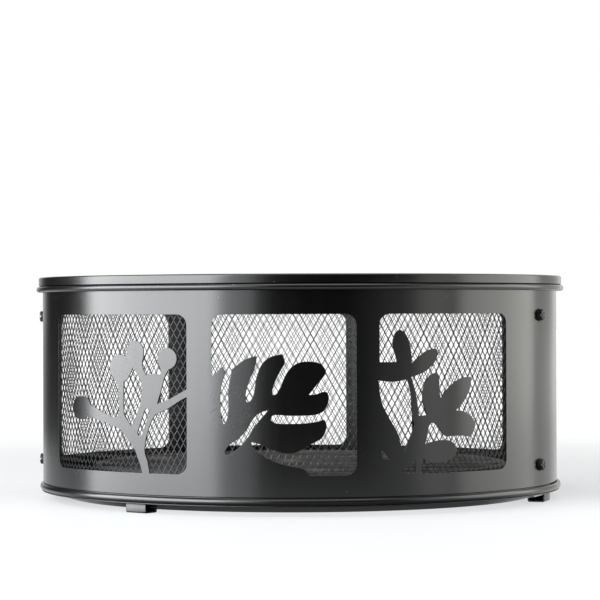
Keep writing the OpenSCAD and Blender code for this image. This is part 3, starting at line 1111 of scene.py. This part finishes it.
@dataclass
class Screens:
    """Expanded steel behind the windows."""

    drum: Drum
    pitch_w: float = 9.4 * MM
    pitch_h: float = 17.0 * MM
    bond_w: float = 0.6 * MM
    bond_h: float = 1.2 * MM
    thick: float = 0.75 * MM
    lean: float = 0.35 * MM
    margin: float = 8 * MM

    def build(self) -> None:
        """Builds one screen for every window."""
        unit = self.unit()
        for windows, behind in ((FRONT_WINDOWS, self.drum.wall_r - self.drum.sheet),
                                (REAR_WINDOWS, self.drum.rear_r - self.drum.sheet)):
            for window in windows:
                self.screen(unit, window, behind)
        bpy.data.objects.remove(unit)

    def unit(self) -> bpy.types.Object:
        """Two bonds of the pattern with their half strands, flat in the XZ plane.

        Returns:
            The unit that repeats.
        """
        Bench.clear()
        bpy.ops.mesh.primitive_circle_add(vertices=6, radius=self.bond_h, fill_type="NGON",
                                          rotation=(math.radians(90), 0, 0))
        bond = Bench.named("bond")
        Bench.settle(bond)
        squeeze = self.bond_w / (self.bond_h * math.sin(math.radians(60)))
        bond.data.transform(Matrix.Diagonal((squeeze, 1, 1, 1)))
        middle = Vector((self.pitch_w / 4, 0, self.pitch_h / 4))
        half = Vector((self.bond_w / 2, 0, self.bond_h * 0.75))
        near = 0.05 * MM
        for side in (-1, 1):
            for way in (-1, 1):
                Bench.edit(bond, "EDGE")
                spot = Vector((half.x * side, 0, half.z * way))
                Bench.select(bond, "EDGE", lambda e, s=spot: (sum(
                    (bond.data.vertices[v].co for v in e.vertices), Vector()) / 2 - s).length < near)
                reach = Vector((middle.x * side, 0, middle.z * way)) - spot
                bpy.ops.mesh.extrude_region_move(TRANSFORM_OT_translate={"value": reach})
        bpy.ops.object.mode_set(mode="OBJECT")
        Bench.pull(bond, (0, self.thick, 0))
        for vertex in bond.data.vertices:
            if abs(abs(vertex.co.x) - self.bond_w) < near:
                vertex.co.y -= self.lean * math.copysign(1, vertex.co.x)
        limit = self.pitch_w / 4
        Bench.edit(bond, "FACE")
        Bench.select(bond, "FACE", lambda f: abs(abs(f.center.x) - limit) < 0.02 * MM)
        bpy.ops.mesh.delete(type="ONLY_FACE")
        bpy.ops.mesh.select_all(action="SELECT")
        bpy.ops.mesh.duplicate_move(TRANSFORM_OT_translate={
            "value": (self.pitch_w / 2, 0, self.pitch_h / 2)})
        bpy.ops.mesh.select_all(action="SELECT")
        bpy.ops.mesh.remove_doubles(threshold=0.02 * MM)
        bpy.ops.object.mode_set(mode="OBJECT")
        return bond

    def screen(self, unit: bpy.types.Object, window: Window, behind: float) -> None:
        """One screen: the pattern repeated, trimmed square and rolled to the wall.

        Args:
            unit: the unit that repeats.
            window: the window that it covers.
            behind: radius of the wall's inner face.
        """
        drum = self.drum
        roll = behind - 0.5 * MM - self.lean - self.thick / 2
        half_w = math.asin(window.width * MM / 2 / drum.wall_r) * roll + self.margin
        half_h = drum.window_h / 2 + self.margin
        columns = math.ceil(2 * half_w / self.pitch_w) + 1
        rows = math.ceil(2 * half_h / self.pitch_h) + 1
        piece = Bench.copy(unit, Matrix.Identity(4))
        piece.name = piece.data.name = window.name
        for count, offset in ((columns, (self.pitch_w, 0, 0)), (rows, (0, 0, self.pitch_h))):
            Bench.modify(piece, "ARRAY", count=count, use_relative_offset=False, use_constant_offset=True,
                         constant_offset_displace=offset, use_merge_vertices=True,
                         use_merge_vertices_cap=False, merge_threshold=0.02 * MM)
        start = Vector((-(columns - 0.5) / 2 * self.pitch_w, 0, -(rows - 0.5) / 2 * self.pitch_h))
        piece.data.transform(Matrix.Translation(start))
        Bench.edit(piece)
        for normal, reach in (((1, 0, 0), half_w), ((-1, 0, 0), half_w), ((0, 0, 1), half_h),
                              ((0, 0, -1), half_h)):
            bpy.ops.mesh.select_all(action="SELECT")
            bpy.ops.mesh.bisect(plane_co=Vector(normal) * reach, plane_no=normal, clear_outer=True,
                                use_fill=True, threshold=0.001 * MM)
        bpy.ops.object.mode_set(mode="OBJECT")
        self.roll(piece, window.angle, roll, drum.window_z + drum.window_h / 2)
        hand_over(piece, DRUM, "screen_steel", [Finish.SCREEN], window.name)

    @staticmethod
    def roll(piece: bpy.types.Object, angle: float, radius: float, mid_z: float) -> None:
        """Rolls a flat piece round the drum's axis: X becomes the way round, -Y the way out.

        Args:
            piece: the piece that changes.
            angle: where its middle goes, in degrees.
            radius: the radius that it is rolled to.
            mid_z: the height of its middle.
        """
        count = len(piece.data.vertices)
        flat = np.empty(count * 3, np.float64)
        piece.data.vertices.foreach_get("co", flat)
        x, y, z = flat.reshape(-1, 3).T
        turn = math.radians(angle) + x / radius
        out = radius - y
        rolled = np.stack([out * np.sin(turn), -out * np.cos(turn), z + mid_z], axis=1)
        piece.data.vertices.foreach_set("co", rolled.ravel())
        piece.data.update()


@dataclass
class Fasteners:
    """Seam screws with their washers and nuts."""

    drum: Drum
    washer_t: float = 1.6 * MM
    washer_r: float = 9 * MM
    head_r: float = 7.75 * MM
    head_h: float = 5.4 * MM
    shank_r: float = 4 * MM
    nut_h: float = 6.5 * MM
    nut_flat: float = 13 * MM
    thread_pitch: float = 1.25 * MM

    def build(self) -> None:
        """Builds each kind of fastener once and copies it to the four holes."""
        places = self.drum.screw_places()
        for name, model in (("seam_screws", self.screw()), ("seam_washers", self.washer()),
                            ("seam_nuts", self.nut())):
            copies = [Bench.copy(model, place) for place in places]
            bpy.data.objects.remove(model)
            hand_over(Bench.join(copies, name), DRUM, "fastener_steel", [Finish.FASTENER], name)

    def screw(self) -> bpy.types.Object:
        """Pan head with a full slot and a cross, and a threaded shank.

        Returns:
            The screw, upright on the axis.
        """
        seat = self.drum.wall_r - self.drum.seat + self.washer_t
        tail = self.drum.rear_r - self.drum.sheet - self.drum.fit - self.nut_h - 2.5 * MM
        r, h, s = self.head_r, self.head_h, self.shank_r
        head = ([(0.0, seat + h), (r * 0.45, seat + h)]
                + arc((r - 2.2 * MM, seat + h - 2.4 * MM), 2.2 * MM, 80, 8, 8) + [(r, seat + 0.4 * MM)]
                + [(r - 0.3 * MM, seat), (s, seat)])
        root = s - 0.6 * MM
        thread, z = [], seat - 6 * MM
        while z > tail + 1.4 * MM:
            thread += [(s - 0.05 * MM, z), (root, z - 0.5 * MM), (root, z - 0.7 * MM)]
            z -= self.thread_pitch
        profile = head + thread + [(s - 0.3 * MM, tail + 0.8 * MM), (s - 1.0 * MM, tail), (0.0, tail)]
        piece = turned(profile, "seam_screw", 40, closed=False)
        slots = ((2 * r + 2 * MM, 2.2 * MM, 2.4 * MM, 0), (8 * MM, 1.8 * MM, 3.2 * MM, 90))
        for length, width, deep, spin in slots:
            Bench.clear()
            bpy.ops.mesh.primitive_cube_add(size=1, location=(0, 0, seat + h + 2 * MM - deep / 2),
                                            rotation=(0, 0, math.radians(spin)),
                                            scale=(length, width, deep + 4 * MM))
            cutter = Bench.named("driver_slot")
            Bench.settle(cutter)
            Bench.cut(piece, cutter)
        Bench.clean(piece, 0.005 * MM)
        Bench.smooth(piece, 32.0)
        return piece

    def washer(self) -> bpy.types.Object:
        """Flat washer with eased edges.

        Returns:
            The washer, level on the axis.
        """
        low = self.drum.wall_r - self.drum.seat
        high, hole, r, e = low + self.washer_t, self.drum.hole_r, self.washer_r, 0.3 * MM
        section = [(hole, low + e), (hole + e, low), (r - e, low), (r, low + e),
                   (r, high - e), (r - e, high), (hole + e, high), (hole, high - e)]
        piece = turned(section, "seam_washer", 48)
        Bench.smooth(piece)
        return piece

    def nut(self) -> bpy.types.Object:
        """Hexagon nut with turned corners and a threaded hole.

        Returns:
            The nut, level on the axis.
        """
        top = self.drum.rear_r - self.drum.sheet - self.drum.fit
        low, hole, flat = top - self.nut_h, self.shank_r + 0.01 * MM, self.nut_flat / 2
        corner = flat / math.cos(math.radians(30))
        Bench.clear()
        bpy.ops.mesh.primitive_cylinder_add(vertices=6, radius=corner, depth=self.nut_h,
                                            location=(0, 0, (low + top) / 2))
        piece = Bench.named("seam_nut")
        Bench.settle(piece)
        cone = turned([(0.0, low - 1 * MM), (hole, low - 1 * MM), (flat, low), (corner, low + 0.9 * MM),
                       (corner + MM, top - 0.1 * MM), (0.0, top + MM)], "nut_corners", 48, closed=False)
        Bench.cut(piece, cone, "INTERSECT")
        bore = turned([(0.0, low - MM), (hole + 0.7 * MM, low - MM), (hole + 0.5 * MM, low),
                       (hole, low + 0.6 * MM), (hole, top - 0.6 * MM), (hole + 0.5 * MM, top),
                       (0.0, top + MM)], "nut_bore", 40, closed=False)
        Bench.cut(piece, bore)
        Bench.clean(piece, 0.005 * MM)
        Bench.smooth(piece, 25.0)
        return piece


# --------------------------------------------------------------------------- the grate
@dataclass
class Grate:
    """Loose fire grate of round rod: a hoop, bars, cross bars and legs, welded together."""

    bars: int = 7
    cross_x: float = 150 * MM
    leg_angles: tuple[float, ...] = (45, 135, 225, 315)
    weld_depth: float = 0.4 * MM
    hoop_rod: float = field(init=False)
    hoop: float = field(init=False)
    rod: float = field(init=False)
    z: float = field(init=False)
    leg_low: float = field(init=False)
    lines: list[float] = field(init=False)
    spots: list[Vector] = field(default_factory=list)

    def __post_init__(self) -> None:
        """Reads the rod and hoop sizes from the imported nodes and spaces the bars."""
        low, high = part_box("grate_hoop")
        self.hoop_rod = (high[2] - low[2]) / 2
        self.hoop = round((high[0] - low[0]) / 2 / MM) * MM - self.hoop_rod
        self.z = (high[2] + low[2]) / 2
        self.rod = self.hoop_rod - 1 * MM
        self.leg_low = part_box("grate_legs")[0][2]
        pitch = 2 * self.hoop / (self.bars + 1)
        self.lines = [i * pitch - self.hoop for i in range(1, self.bars + 1)]

    def build(self) -> None:
        """Builds the grate's pieces."""
        self.hoop_ring()
        self.bar_set()
        self.cross_set()
        self.leg_set()
        self.welds()

    def _rod(self, name: str, start: Vector, end: Vector, radius: float) -> bpy.types.Object:
        """Straight round rod with eased ends.

        Args:
            name: the name of the new piece.
            start: the middle of its first end.
            end: the middle of its other end.
            radius: its radius.

        Returns:
            The rod.
        """
        Bench.clear()
        line = end - start
        bpy.ops.mesh.primitive_cylinder_add(vertices=28, radius=radius, depth=line.length,
                                            location=(start + end) / 2,
                                            rotation=line.to_track_quat("Z", "Y").to_euler())
        rod = Bench.named(name)
        Bench.settle(rod)
        Bench.bevel(rod, 0.8 * MM, 2, 60.0)
        Bench.smooth(rod)
        return rod

    @staticmethod
    def _set(rods: Sequence[bpy.types.Object], name: str) -> None:
        """Joins rods into one piece, named after its node, and hands it over."""
        hand_over(Bench.join(rods, name), GRATE, "grate_steel", [Finish.ROD], name)

    def hoop_ring(self) -> None:
        """Rolled hoop."""
        piece = turned(arc((self.hoop, self.z), self.hoop_rod, 0, 345, 23), "grate_hoop", 180)
        Bench.smooth(piece)
        self._set([piece], "grate_hoop")

    def bar_set(self) -> None:
        """Parallel bars from one side of the hoop to the other."""
        rods = []
        for y in self.lines:
            half = math.sqrt(self.hoop ** 2 - y ** 2) - self.rod * 0.5
            rods.append(self._rod("bar", Vector((-half, y, self.z)), Vector((half, y, self.z)), self.rod))
            for side in (-1, 1):
                self.spots.append(Vector((side * (half - self.rod * 0.6), y, self.z)))
        self._set(rods, "grate_bars")

    def cross_set(self) -> None:
        """Two cross bars under the others."""
        z = self.z - 2 * self.rod + self.weld_depth
        rods = []
        for x in (-self.cross_x, self.cross_x):
            half = math.sqrt(self.hoop ** 2 - x ** 2)
            rods.append(self._rod("cross", Vector((x, -half, z)), Vector((x, half, z)), self.rod))
            self.spots += [Vector((x, y, self.z - self.rod)) for y in self.lines if abs(y) < half]
        self._set(rods, "grate_cross_bars")

    def leg_set(self) -> None:
        """Short legs under the hoop."""
        rods = []
        for angle in self.leg_angles:
            a = math.radians(angle)
            spot = Vector((self.hoop * math.cos(a), self.hoop * math.sin(a), 0))
            rods.append(self._rod("leg", spot + Vector((0, 0, self.leg_low)),
                                  spot + Vector((0, 0, self.z - self.rod * 0.5)), self.rod))
            self.spots.append(spot + Vector((0, 0, self.z - self.rod)))
        self._set(rods, "grate_legs")

    def welds(self) -> None:
        """Small uneven weld beads at every joint."""
        chance = random.Random(7)
        Bench.clear()
        bpy.ops.mesh.primitive_ico_sphere_add(subdivisions=2, radius=self.rod * 0.95)
        model = Bench.named("weld")
        beads = []
        for spot in self.spots:
            size = Matrix.Diagonal([chance.uniform(0.75, 1.05) for _ in range(3)] + [1])
            bead = Bench.copy(model, Matrix.Translation(spot) @ size)
            for vertex in bead.data.vertices:
                vertex.co += (vertex.co - spot) * chance.uniform(-0.08, 0.08)
            beads.append(bead)
        bpy.data.objects.remove(model)
        piece = Bench.join(beads, "grate_welds")
        Bench.smooth(piece, 60.0)
        hand_over(piece, GRATE, "grate_steel", [Finish.WELD])


# --------------------------------------------------------------------------- the studio
@dataclass
class Studio:
    """Pale floor, soft lights and the camera."""

    distance: float = 3.534
    height: float = 0.2686
    lens: float = 145.8
    sensor: float = 36.0
    pitch: float = 0.259
    roll: float = -0.21
    # The floor's emission is painted light. It glows less behind the drum (glow, paper) than ahead
    # (glow_ahead, paper_ahead), a painted shadow of the drum. mirrored_shade_paper is its colour in painted
    # shade, as mirrored.
    paper: Colour = (0.2, 0.203, 0.206)
    glow: Colour = (0.40, 0.405, 0.41)
    paper_ahead: Colour = (0.075, 0.076, 0.077)
    glow_ahead: Colour = (0.74, 0.755, 0.77)
    mirrored_shade_paper: Colour = (0.03, 0.03, 0.03)

    def build(self) -> None:
        """Sets up the whole studio."""
        self.camera()
        self.floor()
        self.lights()
        self.world()
        view = bpy.context.scene.view_settings
        view.view_transform = "Standard"
        view.look = "None"

    def camera(self) -> None:
        """Camera straight in front, level with the upper part of the wall."""
        data = bpy.data.cameras.new("camera")
        data.lens, data.sensor_width = self.lens, self.sensor
        data.clip_end = 200.0
        camera = bpy.data.objects.new("camera", data)
        camera.location = (0.0, -self.distance, self.height)
        camera.rotation_euler = (Matrix.Rotation(math.radians(90 + self.pitch), 3, "X")
                                 @ Matrix.Rotation(math.radians(self.roll), 3, "Z")).to_euler()
        bpy.context.scene.collection.objects.link(camera)
        bpy.context.scene.camera = camera

    def floor(self) -> None:
        """Pale floor that glows as painted light: to the camera it glows less behind the drum, a painted
        shadow, and in reflections it carries painted shade in three places.
        """
        Bench.clear()
        bpy.ops.mesh.primitive_plane_add(size=60.0)
        floor = Bench.named("studio_floor")
        material, g = blank("studio_floor")
        away = g.distance((0.0, 0.0, 0.0))
        across, forth, _ = g.axes()
        front = 0 - forth / away
        far = away.rise(0.6, 2.4)
        # Painted shadow of the drum: the floor behind it glows less.
        behind = forth.rise(-0.35, 0.2)
        near_glow = g.mix(behind, self.glow_ahead, self.glow)
        paper = g.mix(far, g.mix(behind, self.paper_ahead, self.paper), BLACK)
        glow = g.mix(far, near_glow, WHITE)
        # Painted shade in reflections: far ahead, in a ring just outside the drum's foot, and far off to
        # the left behind.
        ahead = front.rise(0.78, 0.95) * away.rise(0.6, 1.3)
        close = front.rise(0.3, 0.75) * away.rise(0.2, 0.352) * (1 - away.rise(0.42, 0.52))
        corner = ((0 - across / away).rise(0.15, 0.4) * (forth / away).rise(0.1, 0.4)
                  * away.rise(1.0, 2.2))
        mirrored_shade = 1 - (1 - ahead) * (1 - close * 0.85) * (1 - corner * 0.9)
        seen, mirrored = (
            g.node("ShaderNodeBsdfPrincipled", {}, {"Base Color": base, "Roughness": rough,
                                                    "Emission Color": light, "Emission Strength": 1.0})
            for base, light, rough in ((paper, glow, 0.6),
                                       (g.mix(mirrored_shade, self.paper, self.mirrored_shade_paper),
                                        g.mix(mirrored_shade, near_glow, BLACK), 0.2)))
        g.tell_apart(seen, mirrored, "ShaderNodeOutputMaterial")
        floor.data.materials.append(material)

    def _softbox(self, name: str, azimuth: float, distance: float, z: float, size: Point,
                 radiance: float, colour: Colour = WHITE) -> None:
        """Rectangular softbox that faces the drum.

        Args:
            name: its name.
            azimuth: its direction from the drum, in degrees from the front.
            distance: its distance from the axis, in metres.
            z: height of its middle.
            size: width and height.
            radiance: its brightness.
            colour: its colour.
        """
        data = bpy.data.lights.new(name, "AREA")
        data.shape = "RECTANGLE"
        data.size, data.size_y = size
        data.energy = radiance * math.pi * size[0] * size[1]
        data.color = colour
        lamp = bpy.data.objects.new(name, data)
        a = math.radians(azimuth)
        lamp.location = (distance * math.sin(a), -distance * math.cos(a), z)
        aim = Vector((0, 0, 0.2)) - Vector(lamp.location)
        lamp.rotation_euler = aim.to_track_quat("-Z", "Y").to_euler()
        lamp.visible_camera = False
        bpy.context.scene.collection.objects.link(lamp)

    def lights(self) -> None:
        """Softboxes all round: large on the left and right, narrow beside them, weak behind, one on top."""
        cool, warm = (0.965, 0.985, 1.0), (1.0, 0.995, 0.95)
        self._softbox("left_softbox", -67.2, 2.6, 1.0, (3.68, 2.4), 12.2, cool)
        self._softbox("left_edge", -27.0, 2.6, 1.0, (0.9, 2.4), 2.9, cool)
        self._softbox("right_edge", 56.0, 2.8, 1.0, (0.8, 2.4), 1.5, warm)
        self._softbox("right_softbox", 94.0, 2.8, 1.0, (2.8, 2.4), 3.7, warm)
        self._softbox("right_back", 138.0, 2.8, 1.0, (1.9, 2.4), 0.75, warm)
        self._softbox("top_softbox", 0.0, 0.5, 2.6, (2.2, 2.2), 2.0)

    def world(self) -> None:
        """White behind and above, dark towards the front; the backdrop always shows pale."""
        world = bpy.data.worlds.new("studio")
        world.use_nodes = True
        bpy.context.scene.world = world
        g = Graph(world.node_tree)
        way = g.node("ShaderNodeTexCoord").outputs["Generated"]
        _, y, z = (Value(g, out) for out in g.node("ShaderNodeSeparateXYZ", {}, {0: way}).outputs)
        share = 1 - (1 - y.rise(0.86, 0.98)) * (1 - z.rise(0.35, 0.8) * 0.7)
        seen, mirrored = (g.node("ShaderNodeBackground", {}, {"Color": rgba(WHITE), "Strength": strength})
                          for strength in (1.0, 0.03 + share * 0.97))
        g.tell_apart(seen, mirrored, "ShaderNodeOutputWorld")


def main() -> None:
    """Builds the studio, the drum and the grate in order."""
    logging.basicConfig(level=logging.INFO, format="%(name)s %(message)s")
    Studio().build()
    Drum().build()
    Grate().build()


if __name__ == "__main__":
    main()
